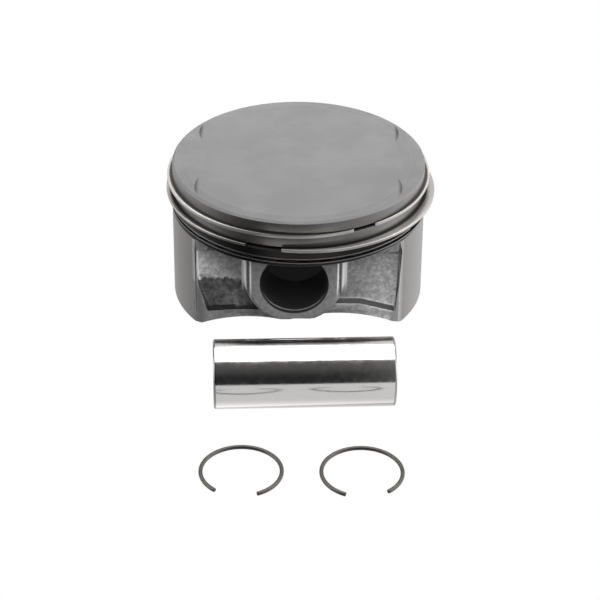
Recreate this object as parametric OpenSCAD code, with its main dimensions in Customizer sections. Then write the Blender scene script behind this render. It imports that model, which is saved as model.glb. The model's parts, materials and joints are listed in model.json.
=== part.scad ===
// Piston for a four-stroke motorcycle engine, with its rings, wrist pin and circlips.
// Millimetres, +Z towards the crown, origin on the cylinder axis at the height of the wrist pin.
// The piston's pin bore runs along Y and its two skirts face -X and +X.

/* [Layout] */
// Wrist pin and circlips laid out loose beside the piston, or fitted in it
layout = "kit"; // [kit, assembled]

/* [Piston] */
// Diameter of the cylinder that the piston runs in
cylinder_d = 77; // [76:0.5:79]
// Height of the crown above the pin axis
compression_h = 27; // [26.5:0.5:29]
// Depth of the skirt foot below the pin axis
skirt_drop = 17; // [16.5:0.5:19]
// Distance of the pin axis from the cylinder axis, along X
pin_offset = -1; // [-1.5:0.25:1.5]
// Thickness of the crown
crown_t = 6; // [5:0.5:7]
// Distance across the outer faces of the pin bosses
boss_span = 57; // [56:0.5:60]
// Space between the pin bosses for the connecting rod
rod_gap = 21; // [19:0.5:23]
// Distance between the flat sides of the piston below the rings
flats_span = 47.6; // [46:0.2:48]

/* [Ring belt] */
// Height of the land above the top ring
top_land_h = 3.9; // [3.5:0.1:4.2]
// Height of the top ring's groove
top_groove_h = 1.2; // [1:0.1:1.3]
// Height of the land between the compression rings
second_land_h = 3.3; // [3:0.1:3.5]
// Height of the second ring's groove
second_groove_h = 1.4; // [1.2:0.1:1.5]
// Height of the land above the oil ring
third_land_h = 2.4; // [2:0.1:2.6]
// Height of the oil ring's groove
oil_groove_h = 1.9; // [1.8:0.1:2.1]
// Height of the land below the oil ring
lower_land_h = 0.9; // [0.8:0.1:1.2]
// Depth of all three grooves
groove_depth = 3.3; // [3.2:0.1:3.5]

/* [Rings] */
// Greatest width of the relaxed top ring, square to its gap
top_ring_w = 79.9; // [79.3:0.1:80.1]
// Width of the relaxed top ring's gap
top_ring_gap = 7.3; // [6:0.1:8.5]
// Greatest width of the relaxed second ring, square to its gap
second_ring_w = 81.7; // [81.2:0.1:81.8]
// Width of the relaxed second ring's gap
second_ring_gap = 11; // [10:0.1:12]
// Width of the relaxed oil rails' gaps
rail_gap = 3.8; // [2.5:0.1:5]
// Number of upward tabs round the oil ring's expander
expander_tabs = 36; // [24:1:44]

/* [Wrist pin and circlips] */
// Diameter of the wrist pin
pin_d = 20; // [19:0.5:20]
// Length of the wrist pin
pin_len = 52; // [50:0.5:52.5]
// Diameter of the hole through the wrist pin
pin_hole_d = 12; // [10:0.5:14]
// Diameter of the circlip wire
wire_d = 1.2; // [1:0.1:1.3]
// Outside diameter of a relaxed circlip
clip_d = 23.6; // [22.5:0.1:24.5]
// Angle of a relaxed circlip's gap
clip_gap = 63; // [45:1:75]

/* [Kit layout] */
// Place of the loose pin's middle, along X
pin_x = 2.1; // [-10:0.1:10]
// Place of the loose pin's middle, along Y
pin_y = -65.1; // [-90:0.1:-55]
// Turn of the loose pin about the vertical
pin_yaw = 2.6; // [-5:0.1:5]
// Distance between the two loose circlips' centres
clip_spacing = 33.3; // [26:0.1:45]
// Place of the middle between the loose circlips, along X
clip_x = 1.6; // [-10:0.1:10]
// Place of the loose circlips' centres, along Y
clip_y = -99.7; // [-130:0.1:-95]
// Turn of the two loose circlips' gaps away from each other
clip_splay = 7; // [-20:1:20]

/* [Hidden] */
$fn = 120;
past = 1;                                   // how far a cutter runs past the surface it opens
FRONT = -90;                                // polar angle of the -Y direction

// Heights, measured from the pin axis
crown_z = compression_h;
foot_z = -skirt_drop;
top_groove_z = crown_z - top_land_h - top_groove_h;
second_groove_z = top_groove_z - second_land_h - second_groove_h;
oil_groove_z = second_groove_z - third_land_h - oil_groove_h;
belt_z = oil_groove_z - lower_land_h;
roof_z = crown_z - crown_t;

// Radii of the turned outside
skirt_r = cylinder_d / 2 - 0.03;
land_r = cylinder_d / 2 - 0.2;
groove_r = land_r - groove_depth;
crown_chamfer = 0.6;
belt_chamfer = 0.35;

// The cast lower body
flat_y = flats_span / 2;                    // outer face of the side walls
recess_depth = 2.9;                         // how far the side recesses go into the side walls
web_t = 2.8;                                // side wall left behind a recess
web_inner_y = flat_y - recess_depth - web_t;
corner_turn = 26;                           // eased corners between the side walls and skirts
corner_reach = flat_y * cos(corner_turn) + sqrt(pow(skirt_r, 2) - pow(flat_y, 2)) * sin(corner_turn) - 0.55;
skirt_t = 3.2;
belt_t = 3.6;                               // wall left behind the ring grooves
recess_top_z = belt_z - 3.6;
boss_y = boss_span / 2;
boss_r = 13.2;                              // outer part of each boss
boss_root_r = 14.9;                         // stepped root of each boss
boss_root_y = flat_y + 2.2;
boss_underside_tilt = 30;

// The pin bore
running_gap = 0.01;
bore_r = pin_d / 2 + running_gap;
mouth_chamfer = 0.3;
clip_groove_depth = 0.72;
clip_groove_w = wire_d + 0.1;
clip_groove_y = pin_len / 2 + 0.3;          // inner wall of each circlip groove
notch_r = 1.6;                              // notch for prising a circlip out

// Valve pockets in the crown
valve_xy = 17.1;
valve_r = 13.6;
valve_tilt = 17;
valve_depth = 0.4;

// Oil drains behind the oil ring, on both skirts
drain_d = 1.4;
drain_angles = [-30, -10, 10, 30];

// Rings
side_gap = 0.04;                            // ring to groove, above and below
top_ring_t = 2.9;
second_ring_t = 3.2;
top_ring_centre = [-0.05, 0.5];
second_ring_centre = [0.6, -0.35];
ring_edge = 0.12;
closed_gap = 0.3;                           // end gap of a ring closed in its cylinder
ring_length = PI * cylinder_d - closed_gap; // along the outer edge, the same relaxed or closed
rail_h = 0.45;
rail_r = (ring_length + rail_gap) / (2 * PI);
rail_t = 2.3;
rail_centre = [0.35, 0.75];
expander_h = oil_groove_h - 2 * rail_h - 4 * side_gap;
expander_wall = 0.4;
expander_in_r = groove_r + 0.15;
expander_tab_t = 0.35;
expander_out_r = land_r - 0.5;
expander_butt = 0.3;
lower_rail_z = oil_groove_z + side_gap;
expander_z = lower_rail_z + rail_h + side_gap;
upper_rail_z = expander_z + expander_h + side_gap;

// Where the ring gaps point, in degrees round from the front
top_gap_at = 30;
second_gap_at = -16;
upper_rail_gap_at = 61;
lower_rail_gap_at = -150;
expander_butt_at = 180;

// Pin ends and circlip
pin_chamfer = 0.5;
pin_mouth_chamfer = 0.8;
installed_clip_d = 2 * (bore_r + clip_groove_depth) - 0.04;
clip_arc = (clip_d - wire_d) * (360 - clip_gap);
installed_clip_gap = 360 - clip_arc / (installed_clip_d - wire_d);

// ---------- Piston body ----------

// Solid disc of the crown and ring belt, before its grooves are cut
module belt_blank() {
    rotate_extrude()
        polygon([[0, belt_z], [skirt_r - belt_chamfer, belt_z], [skirt_r, belt_z + belt_chamfer],
                 [skirt_r, oil_groove_z], [land_r, oil_groove_z], [land_r, crown_z - crown_chamfer],
                 [land_r - crown_chamfer, crown_z], [0, crown_z]]);
}

module ring_groove(floor_z, height) {
    translate([0, 0, floor_z])
        difference() {
            cylinder(r = skirt_r + past, h = height);
            cylinder(r = groove_r, h = height);
        }
}

// Outline of a boss seen along the pin: round below, straight up to the ring belt
module boss_outline(r) {
    circle(r = r);
    translate([-r, 0]) square([2 * r, belt_z + past]);
}

// Extrudes an outline in X and Z from y = 0 towards +Y
module along_y(length) {
    rotate([90, 0, 0]) mirror([0, 0, 1]) linear_extrude(length) children();
}

// Both bosses, reaching out from the side walls; their undersides slope up to the outer faces
module boss_pair() {
    translate([pin_offset, 0, 0])
        for (side = [0, 1]) mirror([0, side, 0])
            difference() {
                union() {
                    along_y(boss_y) boss_outline(boss_r);
                    along_y(boss_root_y) boss_outline(boss_root_r);
                }
                translate([-cylinder_d / 2, flat_y, -boss_root_r])
                    rotate([boss_underside_tilt, 0, 0])
                        translate([0, -past, -cylinder_d]) cube([cylinder_d, cylinder_d, cylinder_d]);
            }
}

// Upright slab through the axis, as high as the trunk
module trunk_slab(half_thickness) {
    translate([-cylinder_d, -half_thickness, foot_z])
        cube([2 * cylinder_d, 2 * half_thickness, belt_z - foot_z + past]);
}

// Skirts and side walls as one trunk with flat sides and eased corners
module trunk() {
    intersection() {
        translate([0, 0, foot_z]) cylinder(r = skirt_r, h = belt_z - foot_z + past);
        trunk_slab(flat_y);
        rotate([0, 0, corner_turn]) trunk_slab(corner_reach);
        rotate([0, 0, -corner_turn]) trunk_slab(corner_reach);
    }
}

// Outline of the recess beside a boss; the ledge below it is lower and the wall wider towards the foot
module recess_outline(skirt_top_x, skirt_foot_x, ledge_z, ledge_end_z) {
    inner_x = sign(skirt_top_x) * boss_r / 2;
    ledge_x = sign(skirt_top_x) * (boss_root_r + 4);
    polygon([[inner_x, recess_top_z], [skirt_top_x, recess_top_z], [skirt_top_x * 0.985, -3],
             [skirt_foot_x, ledge_end_z], [ledge_x, ledge_z], [inner_x, ledge_z]]);
}

// The four side recesses, two on each flat side
module side_recesses() {
    for (side = [0, 1]) mirror([0, side, 0])
        translate([0, flat_y - recess_depth, 0])
            along_y(recess_depth + past) {
                recess_outline(-30.6, -27.2, -12, -12.7);
                recess_outline(30.9, 29.3, -9.6, -12.2);
            }
}

// A cylinder across the foot whose top rounds out the lower edge of both side walls
module foot_arch(x, top_z, r) {
    translate([x, cylinder_d / 2, top_z - r]) rotate([90, 0, 0]) cylinder(r = r, h = cylinder_d, $fn = 360);
}

// The open underside: everything between the skirts and side walls up to the crown, less the bosses
module underside_hollow() {
    low_r = skirt_r - skirt_t;
    high_r = groove_r - belt_t;
    cone_h = low_r - high_r;
    difference() {
        intersection() {
            rotate_extrude()
                polygon([[0, foot_z - past], [low_r, foot_z - past], [low_r, recess_top_z - cone_h],
                         [high_r, recess_top_z], [high_r, roof_z], [0, roof_z]]);
            translate([-cylinder_d / 2, -web_inner_y, foot_z - past])
                cube([cylinder_d, 2 * web_inner_y, roof_z - foot_z + 2 * past]);
        }
        for (side = [0, 1]) mirror([0, side, 0])
            translate([pin_offset, rod_gap / 2, 0])
                along_y(web_inner_y) {
                    circle(r = boss_root_r);
                    translate([-boss_r, 0]) square([2 * boss_r, roof_z + past]);
                }
    }
}

// Pin bore with chamfered mouths, circlip grooves and a notch above each circlip
module pin_bore() {
    translate([pin_offset, 0, 0])
        for (side = [0, 1]) mirror([0, side, 0]) rotate([-90, 0, 0]) {
            cylinder(r = bore_r, h = boss_y + past);
            translate([0, 0, boss_y - mouth_chamfer])
                cylinder(r1 = bore_r, r2 = bore_r + mouth_chamfer + past, h = mouth_chamfer + past);
            translate([0, 0, clip_groove_y]) cylinder(r = bore_r + clip_groove_depth, h = clip_groove_w);
            translate([0, -bore_r, clip_groove_y]) cylinder(r = notch_r, h = boss_y - clip_groove_y + past);
        }
}

// Tilted discs that cut a shallow crescent at the outer side of each valve
module valve_pockets() {
    for (sx = [-1, 1], sy = [-1, 1])
        translate([sx * (valve_xy + valve_r), sy * valve_xy, crown_z - valve_depth])
            rotate([0, sx * valve_tilt, 0])
                translate([-sx * valve_r, 0, 0]) cylinder(r = valve_r, h = 2 * valve_r);
}

module oil_drains() {
    for (skirt = [0, 180], a = drain_angles)
        rotate([0, 90, skirt + a])
            translate([-(oil_groove_z + oil_groove_h / 2), 0, groove_r - belt_t - 2 * past])
                cylinder(d = drain_d, h = belt_t + 3 * past, $fn = 24);
}

module piston_body() {
    color("darkgray")
        difference() {
            union() {
                belt_blank();
                difference() {
                    trunk();
                    side_recesses();
                    foot_arch(-14.5, -14.5, 44);
                    foot_arch(13, -13, 46);
                }
                boss_pair();
            }
            ring_groove(top_groove_z, top_groove_h);
            ring_groove(second_groove_z, second_groove_h);
            ring_groove(oil_groove_z, oil_groove_h);
            underside_hollow();
            pin_bore();
            valve_pockets();
            oil_drains();
        }
}

// ---------- Rings ----------

// Cuts a straight gap through a ring that is centred on the origin
module with_gap(gap, at) {
    difference() {
        children();
        rotate([0, 0, FRONT + at])
            translate([cylinder_d / 4, -gap / 2, -cylinder_d / 2]) cube([cylinder_d / 2, gap, cylinder_d]);
    }
}

// Section of a compression ring in radius and height: a rectangle with broken outer edges
module ring_section(r, t, h) {
    polygon([[r - t, 0], [r - ring_edge, 0], [r, ring_edge], [r, h - ring_edge],
             [r - ring_edge, h], [r - t, h]]);
}

// Radius of a relaxed ring's two half circles, from its greatest width and its gap
function half_circle_r(width, gap) = (ring_length + gap - 2 * width) / (2 * PI - 4);

// A relaxed compression ring has sprung open into a slight oval: two half circles set apart,
// joined by short straights at the gap and opposite it
module compression_ring(width, t, h, gap, at) {
    r = half_circle_r(width, gap);
    spread = width / 2 - r;
    with_gap(gap, at)
        rotate([0, 0, at]) {
            for (side = [0, 1]) mirror([side, 0, 0])
                translate([spread, 0, 0])
                    rotate([0, 0, FRONT]) rotate_extrude(angle = 180) ring_section(r, t, h);
            for (side = [0, 1]) mirror([0, side, 0])
                translate([-spread, 0, 0])
                    rotate([90, 0, 90]) linear_extrude(2 * spread) ring_section(r, t, h);
        }
}

module top_compression_ring() {
    color("silver")
        translate([top_ring_centre[0], top_ring_centre[1], top_groove_z + side_gap])
            compression_ring(top_ring_w, top_ring_t, top_groove_h - 2 * side_gap,
                             top_ring_gap, top_gap_at);
}

module second_compression_ring() {
    color("silver")
        translate([second_ring_centre[0], second_ring_centre[1], second_groove_z + side_gap])
            compression_ring(second_ring_w, second_ring_t, second_groove_h - 2 * side_gap,
                             second_ring_gap, second_gap_at);
}

// A thin rail of the oil ring
module rail(z, at) {
    translate([rail_centre[0], rail_centre[1], z])
        with_gap(rail_gap, at)
            difference() {
                cylinder(r = rail_r, h = rail_h);
                translate([0, 0, -past]) cylinder(r = rail_r - rail_t, h = rail_h + 2 * past);
            }
}

module oil_ring_upper_rail() {
    color("dimgray") rail(upper_rail_z, upper_rail_gap_at);
}

module oil_ring_lower_rail() {
    color("dimgray") rail(lower_rail_z, lower_rail_gap_at);
}

// Spacer between the rails: a thin band with tabs bent out at its top and bottom edges by turns
module oil_ring_expander() {
    pitch = 360 / expander_tabs;
    tab_w = 0.42 * pitch * PI / 180 * expander_in_r;
    color("gray")
        translate([0, 0, expander_z])
            with_gap(expander_butt, expander_butt_at) {
                difference() {
                    cylinder(r = expander_in_r + expander_wall, h = expander_h);
                    translate([0, 0, -past]) cylinder(r = expander_in_r, h = expander_h + 2 * past);
                }
                for (i = [0 : expander_tabs - 1], level = [0, 1])
                    rotate([0, 0, (i + level / 2) * pitch])
                        translate([expander_in_r + expander_wall / 2, -tab_w / 2,
                                   level * (expander_h - expander_tab_t)])
                            cube([expander_out_r - expander_in_r - expander_wall / 2, tab_w, expander_tab_t]);
            }
}

// ---------- Wrist pin and circlips ----------

// Hollow pin along Z, centred on the origin
module pin_along_z() {
    half = pin_len / 2;
    r = pin_d / 2;
    hole_r = pin_hole_d / 2;
    rotate_extrude()
        polygon([[hole_r, -half + pin_mouth_chamfer], [hole_r + pin_mouth_chamfer, -half],
                 [r - pin_chamfer, -half], [r, -half + pin_chamfer],
                 [r, half - pin_chamfer], [r - pin_chamfer, half],
                 [hole_r + pin_mouth_chamfer, half], [hole_r, half - pin_mouth_chamfer]]);
}

module wrist_pin() {
    color("gainsboro")
        if (layout == "kit")
            translate([pin_x, pin_y, foot_z + pin_d / 2])
                rotate([0, 90, pin_yaw]) pin_along_z();
        else
            translate([pin_offset, 0, 0]) rotate([90, 0, 0]) pin_along_z();
}

// Open loop of round wire in the XY plane, with the middle of its gap towards -Y
module circlip(outside_d, gap) {
    rotate([0, 0, FRONT + gap / 2])
        rotate_extrude(angle = 360 - gap)
            translate([(outside_d - wire_d) / 2, 0]) circle(d = wire_d, $fn = 32);
}

// side is -1 for the left circlip and 1 for the right one
module placed_circlip(side) {
    color("slategray")
        if (layout == "kit")
            translate([clip_x + side * clip_spacing / 2, clip_y, foot_z + wire_d / 2])
                rotate([0, 0, side * clip_splay]) circlip(clip_d, clip_gap);
        else
            translate([pin_offset, side * (clip_groove_y + clip_groove_w / 2), 0])
                rotate([90, 0, 0]) circlip(installed_clip_d, installed_clip_gap);
}

module circlip_left() {
    placed_circlip(-1);
}

module circlip_right() {
    placed_circlip(1);
}

piston_body();
top_compression_ring();
second_compression_ring();
oil_ring_upper_rail();
oil_ring_expander();
oil_ring_lower_rail();
wrist_pin();
circlip_left();
circlip_right();
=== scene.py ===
"""Looks of a piston kit: a flat-top piston wearing its rings, a loose wrist pin and two wire circlips.

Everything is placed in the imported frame, in metres. The sizes below and in the material functions are
in millimetres, and are multiplied by MM where metres are needed.
"""
import json
import math

import bmesh
import bpy
from mathutils import Matrix, Vector


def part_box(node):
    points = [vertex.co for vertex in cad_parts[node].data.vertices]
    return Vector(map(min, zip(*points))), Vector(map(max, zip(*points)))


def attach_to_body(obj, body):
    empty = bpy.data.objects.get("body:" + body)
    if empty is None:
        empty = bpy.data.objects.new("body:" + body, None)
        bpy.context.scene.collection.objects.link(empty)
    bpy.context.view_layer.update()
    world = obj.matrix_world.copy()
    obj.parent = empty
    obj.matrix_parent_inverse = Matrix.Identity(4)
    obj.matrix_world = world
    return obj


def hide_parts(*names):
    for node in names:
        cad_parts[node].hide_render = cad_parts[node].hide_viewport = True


MM = 0.001
FRONT = -90.0                     # polar angle of the -Y direction, in degrees

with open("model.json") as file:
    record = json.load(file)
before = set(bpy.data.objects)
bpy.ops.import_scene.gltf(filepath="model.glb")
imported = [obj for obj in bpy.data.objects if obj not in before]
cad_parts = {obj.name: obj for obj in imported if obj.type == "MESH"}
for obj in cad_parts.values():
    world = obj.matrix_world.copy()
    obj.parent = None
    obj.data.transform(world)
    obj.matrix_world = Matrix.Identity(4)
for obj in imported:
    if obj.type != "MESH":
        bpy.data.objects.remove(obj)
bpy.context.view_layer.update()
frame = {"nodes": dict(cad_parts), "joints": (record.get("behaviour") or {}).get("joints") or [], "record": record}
record = frame["record"]
mounts = {mount["name"]: mount for mount in record["mounts"]}
joints = {joint["name"]: joint for joint in frame["joints"]}


# ---------- Sizes, in millimetres ----------

def low_high(node):
    """The two corners of a CAD node's box, in metres."""
    low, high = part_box(node)
    return Vector(low), Vector(high)


body_low, body_high = low_high("piston_body")
CROWN_Z = body_high.z / MM
FOOT_Z = body_low.z / MM
SKIRT_R = body_high.x / MM
LAND_R = SKIRT_R - 0.17
GROOVE_R = LAND_R - 3.3           # floor of the three ring grooves

LOWER_LAND_H = 0.9
OIL_GROOVE_H = 1.9
THIRD_LAND_H = 2.4
SIDE_GAP = 0.04                   # between a ring and the side of its groove
OIL_Z = joints["expander_turn"]["pos_m"][2] / MM
BELT_Z = low_high("oil_ring_lower_rail")[0].z / MM - SIDE_GAP - LOWER_LAND_H
THIRD_LAND_TOP_Z = BELT_Z + LOWER_LAND_H + OIL_GROOVE_H + THIRD_LAND_H

BORE_X = mounts["pin_bore"]["pos_m"][0] / MM
BORE_R = mounts["pin_bore"]["dims"]["r_mm"]
BORE_CHAMFER = 0.3
BOSS_Y = mounts["pin_bore"]["dims"]["length_mm"] / 2 + BORE_CHAMFER
BOSS_ROOT_X = 15.5                # half width of the boss where it meets the recess
FLAT_Y = 23.8                     # outer face of the flat side walls
RECESS_DEPTH = 2.9
SKIRT_Y = 22.2                    # where the turned skirt ends and the cast side begins
CORNER_X = 31.0                   # the upright corner between a side wall and the skirt
UNDERSIDE_Z = -11                 # below this the arch, the bosses and the feet meet
CUSP_X = 8                        # half width of the cusp between the two foot arches
CUSP_Z = -15.5                    # height to which that cusp is blunted
PIN_HOLE_R = 6

RING_LENGTH = math.pi * 77 - 0.3  # round the cylinder, less the closed gap; the same for every ring
SCRAPER_STEP = (0.6, 0.5)         # depth and height of the second ring's undercut

ROUNDING = {"crown": 0.08, "land": 0.1, "bore": 0.06, "boss root": 1.4, "recess": 0.8, "wall": 0.5,
            "rest": 0.3}
WIDEST_ROUNDING = max(ROUNDING.values())
SHARP_EDGE = math.radians(28)     # edges that turn more than this are rounded
NEAR = 0.3                        # an edge this close to a face counts as lying on it


# ---------- Mesh helpers ----------

def mesh_object(name, verts, faces, body, node, smooth_angle=35.0):
    """A new piece from vertices and faces that rides on a body and stands for one CAD node."""
    mesh = bpy.data.meshes.new(name)
    mesh.from_pydata([tuple(v) for v in verts], [], faces)
    mesh.validate()
    piece = bpy.data.objects.new(name, mesh)
    bpy.context.scene.collection.objects.link(piece)
    finish_mesh(mesh, smooth_angle)
    attach(piece, body, node)
    return piece


def finish_mesh(mesh, smooth_angle):
    """Outward normals and smooth shading that breaks at edges sharper than the angle."""
    bm = bmesh.new()
    bm.from_mesh(mesh)
    bmesh.ops.recalc_face_normals(bm, faces=bm.faces)
    bm.to_mesh(mesh)
    bm.free()
    mesh.shade_smooth()
    mesh.set_sharp_from_angle(angle=math.radians(smooth_angle))


def attach(piece, body, node):
    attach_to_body(piece, body)
    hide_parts(node)


def rounded_box_outline(r_in, r_out, z_low, z_high, edge, steps=4):
    """Section of a ring in (radius, height), with its four corners rounded."""
    corners = [(r_out - edge, z_low + edge, -90), (r_out - edge, z_high - edge, 0),
               (r_in + edge, z_high - edge, 90), (r_in + edge, z_low + edge, 180)]
    outline = []
    for r, z, start in corners:
        for i in range(steps + 1):
            angle = math.radians(start + 90 * i / steps)
            outline.append((r + edge * math.cos(angle), z + edge * math.sin(angle)))
    return outline


def circle_outline(r, z, radius, count=24):
    angles = [2 * math.pi * i / count for i in range(count)]
    return [(r + radius * math.cos(a), z + radius * math.sin(a)) for a in angles]


def shrunk(outline, inset):
    """The outline with each point drawn towards the middle by the inset, at most."""
    mid_r = sum(p[0] for p in outline) / len(outline)
    mid_z = sum(p[1] for p in outline) / len(outline)
    half_r = max(abs(p[0] - mid_r) for p in outline)
    half_z = max(abs(p[1] - mid_z) for p in outline)
    scale_r = 1 - inset / half_r
    scale_z = 1 - inset / half_z
    return [(mid_r + (r - mid_r) * scale_r, mid_z + (z - mid_z) * scale_z) for r, z in outline]


def loop_sections(outline, half_gap, steps, end_round, round_steps=3):
    """Sections round an open loop, each with its polar angle; they shrink at the two rounded ends."""
    mean_r = sum(p[0] for p in outline) / len(outline)
    start = FRONT + half_gap
    end = FRONT + 360 - half_gap
    sections = []
    for i in range(round_steps):
        t = i / round_steps
        back = end_round * (1 - math.sin(math.acos(1 - t)))
        inset = end_round * (1 - t)
        sections.append((start + math.degrees(back / mean_r), shrunk(outline, inset)))
    lead = math.degrees(end_round / mean_r)
    for i in range(steps + 1):
        sections.append((start + lead + (end - start - 2 * lead) * i / steps, outline))
    for angle, section in reversed(sections[:round_steps]):
        sections.append((end - (angle - start), section))
    return sections


def open_loop(outline, half_gap, turn, centre, steps, end_round, spread=0.0):
    """Sweeps a closed (radius, height) outline round an open ring with rounded ends.

    The gap is half_gap degrees to each side of -Y before the ring is turned. A spread sets the
    ring's two half circles apart.
    """
    sections = loop_sections(outline, half_gap, steps, end_round)
    place = Matrix.Translation(Vector(centre)) @ Matrix.Rotation(math.radians(turn), 4, "Z")
    verts = []
    for angle, section in sections:
        c = math.cos(math.radians(angle))
        s = math.sin(math.radians(angle))
        shift = math.copysign(spread, c)
        verts += [place @ Vector((r * c + shift, r * s, z - centre[2])) for r, z in section]
    n = len(outline)
    return verts, tube_faces(n, len(sections))


def tube_faces(n, count):
    """Faces of a closed tube through a count of sections of n points each."""
    faces = []
    for k in range(count - 1):
        for i in range(n):
            j = (i + 1) % n
            faces.append((k * n + i, k * n + j, (k + 1) * n + j, (k + 1) * n + i))
    faces.append(tuple(range(n)))
    last = (count - 1) * n
    faces.append(tuple(last + i for i in reversed(range(n))))
    return faces


# ---------- Rings ----------

def hooked(outline, r_out, z_low, step):
    """The ring section with a step cut out of its lower outer corner, as on a scraper ring."""
    depth, height = step
    kept = [(r, z) for r, z in outline if r < r_out - depth or z > z_low + height]
    return [(r_out - depth, z_low), (r_out - depth, z_low + height), (r_out, z_low + height)] + kept


def ring_piece(name, node, body, gap, gap_at, thickness, edge, width=None, step=None):
    """A rebuilt ring, in millimetres; the CAD node gives its height and the joint its centre.

    A relaxed compression ring is a slight oval of the given greatest width, and a rail is round.
    A step is the depth and height of an undercut below the outer face.
    """
    low, high = low_high(node)
    centre = joints[body + "_turn"]["pos_m"]
    if width is None:
        r_out = (RING_LENGTH + gap) / (2 * math.pi)
        spread = 0.0
    else:
        r_out = (RING_LENGTH + gap - 2 * width) / (2 * math.pi - 4)
        spread = width / 2 - r_out
    outline = rounded_box_outline((r_out - thickness) * MM, r_out * MM, low.z, high.z, edge * MM)
    if step:
        outline = hooked(outline, r_out * MM, low.z, [size * MM for size in step])
    half_gap = math.degrees(math.asin((gap / 2 - spread) / r_out))
    verts, faces = open_loop(outline, half_gap, gap_at, centre, steps=240, end_round=edge * MM,
                             spread=spread * MM)
    return mesh_object(name, verts, faces, body, node)


top_ring = ring_piece("top_ring_surface", "top_compression_ring", "top_ring",
                      gap=7.3, gap_at=30, thickness=2.9, edge=0.15, width=79.9)
second_ring = ring_piece("second_ring_surface", "second_compression_ring", "second_ring",
                         gap=11, gap_at=-16, thickness=3.2, edge=0.12, width=81.7, step=SCRAPER_STEP)
upper_rail = ring_piece("upper_rail_surface", "oil_ring_upper_rail", "upper_rail",
                        gap=3.8, gap_at=61, thickness=2.3, edge=0.1)
lower_rail = ring_piece("lower_rail_surface", "oil_ring_lower_rail", "lower_rail",
                        gap=3.8, gap_at=-150, thickness=2.3, edge=0.1)


# ---------- Piston body ----------

def turned_rounding(mid):
    """Rounding of an edge of the crown or of a land; those beside the oil groove stay crisp."""
    if mid.z > CROWN_Z - 1.0:
        return ROUNDING["crown"]
    outermost = math.hypot(mid.x, mid.y) > SKIRT_R - 1.0
    clear_of_oil_groove = abs(mid.z - OIL_Z) > OIL_GROOVE_H / 2 + 0.45
    return ROUNDING["land"] if outermost and clear_of_oil_groove else 0.0


def cast_rounding(mid):
    """Rounding of an edge on the cast sides, by how far it lies behind the side wall's face."""
    behind = FLAT_Y - abs(mid.y)
    if abs(behind - RECESS_DEPTH) < NEAR and mid.z < BELT_Z - 1.0:
        near_boss = abs(mid.x - BORE_X) < BOSS_ROOT_X
        return ROUNDING["boss root"] if near_boss else ROUNDING["recess"]
    return ROUNDING["wall"] if abs(behind) < NEAR else ROUNDING["rest"]


def edge_rounding(edge):
    """Rounding for a sharp edge of the body, or 0 to leave it crisp."""
    mid = (edge.verts[0].co + edge.verts[1].co) / 2 / MM
    from_bore = math.hypot(mid.x - BORE_X, mid.z)
    if mid.z > BELT_Z - 0.05:
        return turned_rounding(mid)
    in_clip_notch = from_bore < BORE_R + 2.2 and mid.z > BORE_R - 1.0
    if in_clip_notch:
        return 0.0
    if from_bore < BORE_R + 1.2:
        return ROUNDING["bore"]
    if mid.z < UNDERSIDE_Z:
        return 0.0
    return cast_rounding(mid)


def tagged_body():
    """The CAD body's mesh with coplanar faces joined, its cusp blunted and its edges weighted."""
    bm = bmesh.new()
    bm.from_mesh(frame["nodes"]["piston_body"].data)
    bmesh.ops.remove_doubles(bm, verts=bm.verts, dist=0.002 * MM)
    bmesh.ops.dissolve_limit(bm, angle_limit=math.radians(0.3), verts=bm.verts, edges=bm.edges)
    for vert in bm.verts:
        if abs(vert.co.x) < CUSP_X * MM:
            vert.co.z = max(vert.co.z, CUSP_Z * MM)
    weight = bm.edges.layers.float.new("bevel_weight_edge")
    for edge in bm.edges:
        if edge.is_manifold and edge.calc_face_angle(0.0) > SHARP_EDGE:
            edge[weight] = edge_rounding(edge) / WIDEST_ROUNDING
    mesh = bpy.data.meshes.new("piston_body_surface")
    bm.to_mesh(mesh)
    bm.free()
    return mesh


def rounded_body():
    """The CAD body with its cast edges filleted and its turned edges broken."""
    piece = bpy.data.objects.new("piston_body_surface", tagged_body())
    bpy.context.scene.collection.objects.link(piece)
    bevel = piece.modifiers.new("rounding", "BEVEL")
    bevel.limit_method = "WEIGHT"
    bevel.width = WIDEST_ROUNDING * MM
    bevel.segments = 4
    bevel.use_clamp_overlap = False
    bpy.context.view_layer.update()
    bevelled = piece.evaluated_get(bpy.context.evaluated_depsgraph_get())
    rounded = bpy.data.meshes.new_from_object(bevelled)
    piece.modifiers.clear()
    piece.data = rounded
    finish_mesh(rounded, smooth_angle=32)
    attach(piece, "piston", "piston_body")
    return piece


piston_body = rounded_body()


# ---------- Expander, wrist pin and circlips ----------

def wave(turn):
    """Flat-topped wave from 0 to 1 for the corrugations, over one turn of the pitch."""
    return min(1.0, max(0.0, 0.5 + 1.6 * math.sin(2 * math.pi * turn)))


def corrugated_expander():
    """The spacer between the rails: a steel strip folded up and down round the groove."""
    low, high = low_high("oil_ring_expander")
    r_out = high.x
    r_in = r_out - 2.4 * MM
    sheet = 0.32 * MM
    pitches = 36
    steps_per_pitch = 16
    steps = pitches * steps_per_pitch
    butt = 0.3 * MM / r_out       # angle of the gap where the strip's ends meet
    verts = []
    for k in range(steps + 1):
        angle = math.radians(FRONT + 180) + butt / 2 + (2 * math.pi - butt) * k / steps
        z = low.z + (high.z - low.z - sheet) * wave(k / steps_per_pitch)
        for r, rise in ((r_in, 0), (r_out, 0), (r_out, sheet), (r_in, sheet)):
            verts.append((r * math.cos(angle), r * math.sin(angle), z + rise))
    return mesh_object("expander_surface", verts, tube_faces(4, steps + 1), "expander",
                       "oil_ring_expander")


expander = corrugated_expander()


def arc_points(centre, radius, start, end, steps):
    """Points of (radius, length) along an arc given in degrees."""
    points = []
    for i in range(steps + 1):
        angle = math.radians(start + (end - start) * i / steps)
        points.append((centre[0] + radius * math.cos(angle), centre[1] + radius * math.sin(angle)))
    return points


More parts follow.
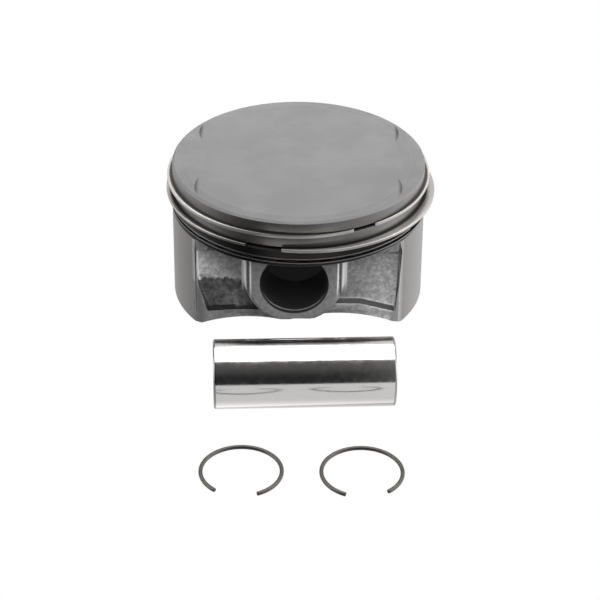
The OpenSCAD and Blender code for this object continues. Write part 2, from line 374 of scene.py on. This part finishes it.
def lathe(outline, segments, matrix):
    """Turns a closed (radius, length) outline round Z and places it by the matrix."""
    n = len(outline)
    verts = []
    for k in range(segments):
        angle = 2 * math.pi * k / segments
        verts += [matrix @ Vector((r * math.cos(angle), r * math.sin(angle), z)) for r, z in outline]
    faces = []
    for k in range(segments):
        after = (k + 1) % segments
        for i in range(n):
            j = (i + 1) % n
            faces.append((k * n + i, after * n + i, after * n + j, k * n + j))
    return verts, faces


def hollow_pin():
    """The ground pin: rounded ends outside, and a hole that opens out at both ends."""
    journal = mounts["pin_journal"]
    r = journal["dims"]["r_mm"] * MM
    end = 0.5 * MM                # the pin goes on this far beyond its journal
    half = journal["dims"]["length_mm"] * MM / 2 + end
    edge = 0.7 * MM
    mouth = 0.8 * MM
    broken = 0.1 * MM             # the broken edge between the hole's mouth and the pin's end
    hole_r = PIN_HOLE_R * MM
    half_outline = arc_points((r - edge, half - edge), edge, 0, 90, 6)
    half_outline += [(hole_r + mouth + broken, half), (hole_r + mouth, half - broken),
                     (hole_r, half - mouth)]
    outline = half_outline + [(radius, -z) for radius, z in reversed(half_outline)]
    turn = Vector(journal["axis"]).to_track_quat("Z", "Y").to_matrix().to_4x4()
    matrix = Matrix.Translation(Vector(journal["pos_m"])) @ turn
    verts, faces = lathe(outline, segments=192, matrix=matrix)
    return mesh_object("wrist_pin_surface", verts, faces, "wrist_pin", "wrist_pin")


wrist_pin = hollow_pin()


def circlip_piece(side, splay):
    """An open loop of round wire, turned by the splay in degrees, with its cut ends rounded over."""
    node = "circlip_" + side
    low, high = low_high(node)
    centre = joints[node + "_turn"]["pos_m"]
    wire_r = (high.z - low.z) / 2
    r_out = high.y - centre[1]
    outline = circle_outline(r_out - wire_r, centre[2], wire_r)
    verts, faces = open_loop(outline, 31.5, splay, centre, steps=144, end_round=0.15 * MM)
    return mesh_object(node + "_surface", verts, faces, node, node, smooth_angle=45)


circlip_left = circlip_piece("left", -7)
circlip_right = circlip_piece("right", 7)


# ---------- Materials ----------

class Nodes:
    """A node tree, with a short way to add nodes and do sums between sockets."""

    def __init__(self, owner):
        owner.use_nodes = True
        self.tree = owner.node_tree

    def add(self, kind, **settings):
        node = self.tree.nodes.new(kind)
        for key, value in settings.items():
            setattr(node, key, value)
        return node

    def put(self, socket, value):
        """Links a socket to another socket, or sets its value."""
        if isinstance(value, bpy.types.NodeSocket):
            self.tree.links.new(value, socket)
        else:
            socket.default_value = value

    def split(self, vector):
        """The x, y and z sockets of a vector."""
        node = self.add("ShaderNodeSeparateXYZ")
        self.put(node.inputs[0], vector)
        return node.outputs

    def math(self, operation, a, b=0.0):
        node = self.add("ShaderNodeMath", operation=operation)
        self.put(node.inputs[0], a)
        self.put(node.inputs[1], b)
        return node.outputs[0]

    def vector_math(self, operation, a, b=(0, 0, 0)):
        """The outputs of a vector sum: Vector or Value, as the operation gives."""
        node = self.add("ShaderNodeVectorMath", operation=operation)
        self.put(node.inputs[0], a)
        self.put(node.inputs[1], b)
        return node.outputs

    def size(self, value):
        return self.math("ABSOLUTE", value)

    def product(self, first, *others):
        for other in others:
            first = self.math("MULTIPLY", first, other)
        return first

    def distance(self, a, b):
        """Length of the hypotenuse over two sides."""
        squares = self.math("ADD", self.math("POWER", a, 2.0), self.math("POWER", b, 2.0))
        return self.math("SQRT", squares)

    def ramp(self, value, low, high):
        """0 at low, 1 at high and smooth between; high may be the lower of the two."""
        node = self.add("ShaderNodeMapRange", interpolation_type="SMOOTHSTEP")
        self.put(node.inputs["Value"], value)
        if low < high:
            settings = (low, high, 0.0, 1.0)
        else:
            settings = (high, low, 1.0, 0.0)
        for name, setting in zip(("From Min", "From Max", "To Min", "To Max"), settings):
            node.inputs[name].default_value = setting
        return node.outputs["Result"]

    def between(self, value, low, high, soft):
        """1 from low to high and 0 outside, with soft edges."""
        above_low = self.ramp(value, low - soft, low + soft)
        return self.product(above_low, self.ramp(value, high + soft, high - soft))

    def mix(self, factor, a, b):
        """Number between a and b."""
        node = self.add("ShaderNodeMix", data_type="FLOAT")
        self.put(node.inputs[0], factor)
        self.put(node.inputs[2], a)
        self.put(node.inputs[3], b)
        return node.outputs[0]


class Shader(Nodes):
    """A material's nodes, with the place on the object in millimetres."""

    def __init__(self, name):
        self.material = bpy.data.materials.new(name)
        super().__init__(self.material)
        self.bsdf = self.tree.nodes["Principled BSDF"]
        scale = self.add("ShaderNodeVectorMath", operation="SCALE")
        self.put(scale.inputs[0], self.add("ShaderNodeTexCoord").outputs["Object"])
        scale.inputs["Scale"].default_value = 1 / MM
        self.mm = scale.outputs["Vector"]
        self.x, self.y, self.z = self.split(self.mm)

    def normal(self, axis):
        """The surface normal's part along an axis, from -1 to 1."""
        return self.split(self.add("ShaderNodeNewGeometry").outputs["Normal"])[axis]

    def level(self):
        """How nearly the surface lies level, facing up or down, from 0 to 1."""
        return self.size(self.normal("Z"))

    def noise(self, scale, detail=3.0, stretch=(1, 1, 1), roughness=0.55, vector=None):
        """Noise from 0 to 1; scale is features per millimetre."""
        mapping = self.add("ShaderNodeMapping")
        self.put(mapping.inputs["Vector"], self.mm if vector is None else vector)
        mapping.inputs["Scale"].default_value = stretch
        node = self.add("ShaderNodeTexNoise")
        self.put(node.inputs["Vector"], mapping.outputs[0])
        node.inputs["Scale"].default_value = scale
        node.inputs["Detail"].default_value = detail
        node.inputs["Roughness"].default_value = roughness
        return node.outputs["Fac"]

    def colour(self, factor, a, b):
        """Colour between a and b, each (r, g, b) or a socket."""
        node = self.add("ShaderNodeMix", data_type="RGBA")
        self.put(node.inputs[0], factor)
        self.put(node.inputs[6], a if isinstance(a, bpy.types.NodeSocket) else (*a, 1))
        self.put(node.inputs[7], b if isinstance(b, bpy.types.NodeSocket) else (*b, 1))
        return node.outputs[2]

    def bump(self, height):
        """Sets the surface bump from a height in millimetres."""
        node = self.add("ShaderNodeBump")
        node.inputs["Strength"].default_value = 1.0
        node.inputs["Distance"].default_value = MM
        self.put(node.inputs["Height"], height)
        self.put(self.bsdf.inputs["Normal"], node.outputs[0])

    def set(self, **values):
        for name, value in values.items():
            self.put(self.bsdf.inputs[name.replace("_", " ")], value)


def grey(level, warmth=0.0):
    """A linear grey, warmer in red and weaker in blue as warmth grows."""
    return (level * (1 + warmth), level, level * (1 - warmth))


def speckled(sh, mottle, dark, light):
    return sh.colour(sh.ramp(mottle, 0.36, 0.64), grey(dark), grey(light))


def cast_sides_shaded_under_belt(sh, mottle):
    """The cast sides between the skirts: pale towards the corners, grey on the boss, with a blotchy painted shade
    just under the ring belt above.
    """
    aside = sh.size(sh.math("SUBTRACT", sh.x, BORE_X))
    colour = sh.colour(sh.ramp(aside, BOSS_ROOT_X + 0.5, CORNER_X),
                       speckled(sh, mottle, 0.24, 0.42), speckled(sh, mottle, 0.48, 0.85))
    boss_face = sh.ramp(sh.size(sh.y), BOSS_Y - 0.5, BOSS_Y - 0.2)
    colour = sh.colour(boss_face, colour, speckled(sh, mottle, 0.21, 0.3))
    # Painted shade: darker blotches just under the ring belt, where its overhang shades the cast sides.
    painted_shade_under_belt = sh.product(sh.ramp(sh.z, BELT_Z - 6.0, BELT_Z - 3.0), sh.ramp(mottle, 0.38, 0.6))
    return sh.colour(painted_shade_under_belt, colour, grey(0.1))


def shaded_walls(sh, mottle, left, in_recess, colour):
    """Painted shade on a darker lip along the left foot and on dark corner strips, and a painted highlight on the
    end walls of the recesses.
    """
    on_wall = sh.math("SUBTRACT", 1.0, in_recess)
    from_axis = sh.size(sh.x)
    # Painted shade on the lip along the left foot.
    painted_shade_left_lip = sh.product(left, on_wall, sh.ramp(sh.z, -4, -7))
    colour = sh.colour(painted_shade_left_lip, colour, speckled(sh, mottle, 0.22, 0.34))
    # Painted shade: dark strips at the upright corners, darker still towards the left foot.
    corner = sh.math("MAXIMUM", sh.ramp(from_axis, CORNER_X - 0.2, CORNER_X + 0.1),
                     sh.product(sh.ramp(from_axis, CORNER_X - 4.0, CORNER_X - 1.5), on_wall))
    painted_shade_left_foot = sh.product(left, sh.ramp(sh.z, -3, -7))
    colour = sh.colour(corner, colour, sh.colour(painted_shade_left_foot, grey(0.24), grey(0.18)))
    # Painted highlight: near-white end walls of the recesses, on the faces turned towards the middle.
    facing_middle = sh.ramp(sh.product(sh.normal("X"), sh.x), -5, -14)
    painted_highlight_end_wall = sh.product(facing_middle, sh.ramp(from_axis, CORNER_X - 5.0, CORNER_X - 3.0),
                          sh.ramp(sh.z, -5, -1))
    return sh.colour(painted_highlight_end_wall, colour, grey(0.95))


def boss_flank_highlights_and_crease(sh, colour):
    """Painted highlights up the two sides of each boss root, with a painted shadow in the crease between them."""
    aside = sh.size(sh.math("SUBTRACT", sh.x, BORE_X))
    upright = sh.between(sh.z, -5.5, 8.0, 2.5)
    # Painted highlight, painted shadow in the crease, painted highlight: start, end and level across the boss
    # root.
    strips = ((14.4, 15.9, 0.8), (13.6, 14.1, 0.08), (12.8, 13.3, 0.75))
    for start, end, level in strips:
        strip = sh.product(sh.between(aside, start, end, 0.12), upright)
        colour = sh.colour(strip, colour, grey(level))
    return colour


def cast_colour(sh, mottle):
    """Colour of the rough cast sides, each layer over the ones before."""
    left = sh.ramp(sh.math("SUBTRACT", sh.x, BORE_X), -9, -12)
    in_recess = sh.ramp(sh.size(sh.y), FLAT_Y - 0.6, FLAT_Y - 1.4)
    colour = cast_sides_shaded_under_belt(sh, mottle)
    colour = shaded_walls(sh, mottle, left, in_recess, colour)
    # Painted shade: a dark, ragged patch low in the left recess.
    painted_shade_edge_z = sh.math("ADD", sh.z, sh.product(mottle, 5.0))
    painted_shade_left_recess = sh.product(left, in_recess, sh.ramp(painted_shade_edge_z, 0.5, -1.0))
    colour = sh.colour(painted_shade_left_recess, colour, speckled(sh, mottle, 0.05, 0.15))
    # Painted shade on the level ledges low on the sides, under the belt's overhang; darker on the left.
    painted_shade_ledge = sh.product(sh.ramp(sh.level(), 0.45, 0.8), sh.ramp(sh.z, 0, -2))
    colour = sh.colour(painted_shade_ledge, colour, sh.colour(left, grey(0.08), grey(0.02)))
    return boss_flank_highlights_and_crease(sh, colour)


def crown_colour(sh, radius):
    """Blasted crown: blotchy, darker towards the front, and with painted shade in its valve pockets."""
    blotchy = sh.ramp(sh.noise(0.09, 4.0), 0.35, 0.65)
    front = sh.colour(blotchy, grey(0.102), grey(0.115))
    back = sh.colour(blotchy, grey(0.121), grey(0.136))
    colour = sh.colour(sh.ramp(sh.y, -SKIRT_R, SKIRT_R), front, back)
    # Painted shade in the valve pockets.
    pocket = sh.product(sh.ramp(sh.z, CROWN_Z - 0.02, CROWN_Z - 0.3),
                        sh.ramp(radius, SKIRT_R - 1.5, SKIRT_R - 1.7))
    return sh.colour(pocket, colour, grey(0.06))


def piston_alloy():
    """Cast and turned aluminium: a blasted crown, turned lands and skirts, rough cast sides."""
    sh = Shader("piston_alloy_surface")
    radius = sh.distance(sh.x, sh.y)
    from_bore = sh.distance(sh.math("SUBTRACT", sh.x, BORE_X), sh.z)
    crown = sh.ramp(sh.z, CROWN_Z - 0.75, CROWN_Z - 0.45)
    belt = sh.ramp(sh.z, BELT_Z - 0.3, BELT_Z - 0.1)
    skirt = sh.ramp(sh.size(sh.y), SKIRT_Y, SKIRT_Y - 0.4)
    turned = sh.product(sh.ramp(radius, SKIRT_R - 0.9, SKIRT_R - 0.6), sh.math("MAXIMUM", belt, skirt))
    # Painted shade: the pin bore's wall is near-black and dull.
    bored = sh.ramp(from_bore, BORE_R + 0.5, BORE_R + 0.2)
    # Painted shade on the third land, the oil groove and the lower land, under the second ring's overhang.
    painted_shade_lower_lands = sh.between(sh.z, BELT_Z, THIRD_LAND_TOP_Z, 0.05)
    # Painted shade: the insides of the ring grooves are near-black and dull.
    grooves = sh.product(sh.between(radius, GROOVE_R - 0.3, SKIRT_R - 0.75, 0.2),
                         sh.ramp(sh.z, BELT_Z + 0.3, BELT_Z + 0.5))
    mottle = sh.noise(0.7, 6.0, roughness=0.7)
    grain = sh.noise(6.0, 2.0)
    sand = sh.noise(2.2, 4.0, roughness=0.7)
    tool_marks = sh.noise(1.0, 2.0, stretch=(0.05, 0.05, 9.0))

    turned_colour = sh.colour(tool_marks, grey(0.17, 0.03), grey(0.22, 0.02))
    colour = sh.colour(turned, cast_colour(sh, mottle), turned_colour)
    colour = sh.colour(painted_shade_lower_lands, colour, grey(0.025, 0.02))
    colour = sh.colour(grooves, colour, grey(0.008))
    colour = sh.colour(crown, colour, crown_colour(sh, radius))
    colour = sh.colour(bored, colour, grey(0.022))

    rough = sh.mix(turned, sh.mix(mottle, 0.38, 0.6), sh.mix(tool_marks, 0.36, 0.46))
    rough = sh.mix(crown, rough, sh.mix(grain, 0.55, 0.65))
    metal = sh.mix(crown, sh.mix(turned, 0.35, 1.0), 0.45)
    height = sh.mix(turned, sh.product(sand, 0.16), sh.product(tool_marks, 0.012))
    sh.bump(sh.mix(crown, height, sh.product(grain, 0.02)))
    dull = sh.math("MAXIMUM", grooves, bored)
    sh.set(Base_Color=colour, Roughness=sh.mix(dull, rough, 0.95), Metallic=sh.mix(dull, metal, 0.0),
           Specular_IOR_Level=sh.mix(dull, 0.5, 0.05))
    return sh.material


def ring_metal(name, level, warmth, roughness, metallic=0.75, painted_shade_below=None):
    """Ring metal: a ground outer face, and sides painted dark as shade wherever the groove covers them.

    The outer face can carry painted shade up to a height as well.
    """
    sh = Shader(name)
    proud = sh.ramp(sh.distance(sh.x, sh.y), SKIRT_R + 0.5, SKIRT_R + 1.0)
    marks = sh.noise(1.0, 3.0, stretch=(0.15, 0.15, 14.0))
    wear = sh.noise(0.25, 3.0)
    # Painted shade on the level sides of a ring, except where it stands proud of the piston.
    clear_of_painted_shade = sh.math("MAXIMUM", proud, sh.ramp(sh.level(), 0.75, 0.45))
    if painted_shade_below is not None:
        # Painted shade on the outer face below a height, such as over the second ring's undercut.
        clear_of_painted_shade = sh.product(clear_of_painted_shade, sh.ramp(sh.z, painted_shade_below - 0.06, painted_shade_below))
    ground = sh.colour(wear, grey(level * 0.85, warmth), grey(level, warmth))
    sh.bump(sh.product(marks, 0.004))
    sh.set(Base_Color=sh.colour(clear_of_painted_shade, grey(0.04, warmth), ground),
           Roughness=sh.mix(marks, roughness, roughness + 0.1), Metallic=metallic)
    return sh.material


def pin_metal():
    """Ground and polished pin steel: fine grinding lines run round the pin, and its hole is dull."""
    sh = Shader("pin_steel_surface")
    journal = mounts["pin_journal"]
    along = Vector(journal["axis"])
    half = journal["dims"]["length_mm"] / 2
    from_middle = sh.vector_math("SUBTRACT", sh.mm, Vector(journal["pos_m"]) / MM)["Vector"]
    length = sh.vector_math("DOT_PRODUCT", from_middle, along)["Value"]
    across = sh.vector_math("CROSS_PRODUCT", from_middle, along)["Vector"]
    radius = sh.vector_math("LENGTH", across)["Value"]
    end = sh.ramp(sh.size(length), half - 0.3, half)
    hole = sh.ramp(radius, PIN_HOLE_R + 0.8, PIN_HOLE_R + 0.4)
    lines = sh.add("ShaderNodeCombineXYZ")
    sh.put(lines.inputs[0], length)
    grind = sh.noise(9.0, 4.0, vector=lines.outputs[0])
    haze = sh.noise(0.5, 4.0, roughness=0.7)
    sh.bump(sh.product(grind, 0.004))
    ground = sh.colour(grind, grey(0.55, 0.03), grey(0.74, 0.01))
    polish = sh.mix(sh.ramp(haze, 0.3, 0.7), 0.09, 0.18)
    sh.set(Base_Color=sh.colour(sh.math("MAXIMUM", end, hole), ground, grey(0.2)),
           Roughness=sh.mix(hole, polish, 0.5), Metallic=1.0)
    return sh.material


def wire_metal():
    """Dark drawn spring wire with faint scale."""
    sh = Shader("clip_wire_surface")
    scale_marks = sh.noise(1.6, 4.0, roughness=0.7)
    sh.bump(sh.product(scale_marks, 0.03))
    sh.set(Base_Color=sh.colour(scale_marks, grey(0.035, 0.08), grey(0.09, 0.06)),
           Roughness=sh.mix(scale_marks, 0.4, 0.55), Metallic=1.0)
    return sh.material


def paint(material, **pieces):
    """Gives a finish to pieces and to the hidden CAD nodes they stand for, as node=piece."""
    for node, piece in pieces.items():
        piece.data.materials.clear()
        piece.data.materials.append(material)
        for slot in frame["nodes"][node].material_slots:
            slot.material = material


undercut_top = low_high("second_compression_ring")[0].z / MM + SCRAPER_STEP[1]
paint(piston_alloy(), piston_body=piston_body)
paint(ring_metal("ring_steel_surface", 0.48, 0.05, 0.36), top_compression_ring=top_ring)
paint(ring_metal("ring_iron_surface", 0.42, 0.04, 0.3, metallic=1.0, painted_shade_below=undercut_top),
      second_compression_ring=second_ring)
paint(ring_metal("rail_steel_surface", 0.17, 0.02, 0.35),
      oil_ring_upper_rail=upper_rail, oil_ring_lower_rail=lower_rail)
# The expander's near-black tone is painted shade deep in the oil groove.
paint(ring_metal("expander_steel_surface", 0.05, 0.02, 0.4), oil_ring_expander=expander)
paint(pin_metal(), wrist_pin=wrist_pin)
paint(wire_metal(), circlip_left=circlip_left, circlip_right=circlip_right)


# ---------- Stage, light and camera ----------

def white_floor():
    """A wide white floor that shows no cast shadows, has a painted shadow under the piston and is clear from
    below.
    """
    bpy.ops.mesh.primitive_plane_add(size=6.0, location=(0, 0, (FOOT_Z - 0.02) * MM))
    floor = bpy.context.object
    floor.name = "floor"
    floor.visible_diffuse = False
    floor.visible_glossy = False
    floor.visible_shadow = False
    sh = Shader("floor_paint")
    # Painted shadow: the floor barely glows under the piston.
    beyond_skirts = sh.ramp(sh.size(sh.x), 29, 33)
    beyond_walls = sh.ramp(sh.size(sh.y), 13, 17)
    outside_painted_shadow = sh.math("MAXIMUM", beyond_skirts, beyond_walls)
    sh.set(Base_Color=(0, 0, 0, 1), Roughness=1.0, Specular_IOR_Level=0.0,
           Emission_Color=(1, 1, 1, 1), Emission_Strength=sh.mix(outside_painted_shadow, 0.008, 1.0))
    either = sh.add("ShaderNodeMixShader")
    sh.put(either.inputs[0], sh.add("ShaderNodeNewGeometry").outputs["Backfacing"])
    sh.put(either.inputs[1], sh.bsdf.outputs[0])
    sh.put(either.inputs[2], sh.add("ShaderNodeBsdfTransparent").outputs[0])
    sh.put(sh.tree.nodes["Material Output"].inputs["Surface"], either.outputs[0])
    floor.data.materials.append(sh.material)


def softbox(name, place, target, width, height, power, only=None):
    """A rectangular light; only limits it to some pieces."""
    light = bpy.data.lights.new(name, "AREA")
    light.shape = "RECTANGLE"
    light.size = width
    light.size_y = height
    light.energy = power
    lamp = bpy.data.objects.new(name, light)
    lamp.location = place
    lamp.rotation_euler = (Vector(target) - Vector(place)).to_track_quat("-Z", "Y").to_euler()
    lamp.visible_camera = False
    bpy.context.scene.collection.objects.link(lamp)
    if only:
        lit = bpy.data.collections.new(name + "_lights")
        for piece in only:
            lit.objects.link(piece)
        lamp.light_linking.receiver_collection = lit


def surroundings():
    """A studio that is dark behind the camera, pale behind the object and paler up and on the right.

    The camera itself sees it plain white.
    """
    world = bpy.data.worlds.new("studio")
    bpy.context.scene.world = world
    sky = Nodes(world)
    x, y, z = sky.split(sky.add("ShaderNodeTexCoord").outputs["Generated"])
    behind = sky.mix(sky.ramp(y, -0.5, 0.6), 0.025, 0.85)
    right = sky.product(sky.ramp(x, 0.15, 0.6), 0.6)
    above = sky.product(sky.ramp(z, 0.3, 0.95), 0.09)
    glow = sky.math("ADD", sky.math("ADD", behind, right), above)
    seen_by_camera = sky.add("ShaderNodeLightPath").outputs["Is Camera Ray"]
    background = sky.tree.nodes["Background"]
    sky.put(background.inputs["Strength"], sky.mix(seen_by_camera, glow, 1.0))
    sky.put(background.inputs["Color"], (1, 1, 1, 1))


def camera():
    """Long lens, looking down at the front of the piston from its own middle plane."""
    pitch = math.radians(32.33)
    roll = math.radians(0.48)
    skirt_r = SKIRT_R * MM
    distance = 18.183 * skirt_r
    target = Vector((0.020 * skirt_r, 0, FOOT_Z * MM - 0.1713 * skirt_r))
    data = bpy.data.cameras.new("camera")
    data.lens = 133.2
    data.sensor_width = 36
    data.clip_end = 20
    eye = bpy.data.objects.new("camera", data)
    away = Vector((0, -math.cos(pitch), math.sin(pitch)))
    eye.location = target + away * distance
    turn = Matrix.Rotation(math.pi / 2 - pitch, 4, "X") @ Matrix.Rotation(roll, 4, "Z")
    eye.rotation_euler = turn.to_euler()
    bpy.context.scene.collection.objects.link(eye)
    bpy.context.scene.camera = eye


white_floor()
surroundings()
softbox("softbox_top", (0, 0.2, 0.8), (0, 0.2, 0), 1.3, 0.95, 16)
softbox("softbox_left", (-0.9, -0.05, 0.2), (0, 0, 0), 0.6, 0.7, 6)
softbox("softbox_right", (0.9, -0.05, 0.2), (0, 0, 0), 0.6, 0.7, 6)
softbox("front_fill", (0, -0.7, 0.75), (0, 0, 0), 0.8, 0.5, 7, only=[piston_body])
softbox("floor_bounce", (0, -0.186, (FOOT_Z - 2) * MM), (0, -0.186, 1), 0.6, 0.228, 0.34,
        only=[wrist_pin, circlip_left, circlip_right])
camera()
bpy.context.scene.view_settings.view_transform = "Standard"
bpy.context.scene.view_settings.look = "None"
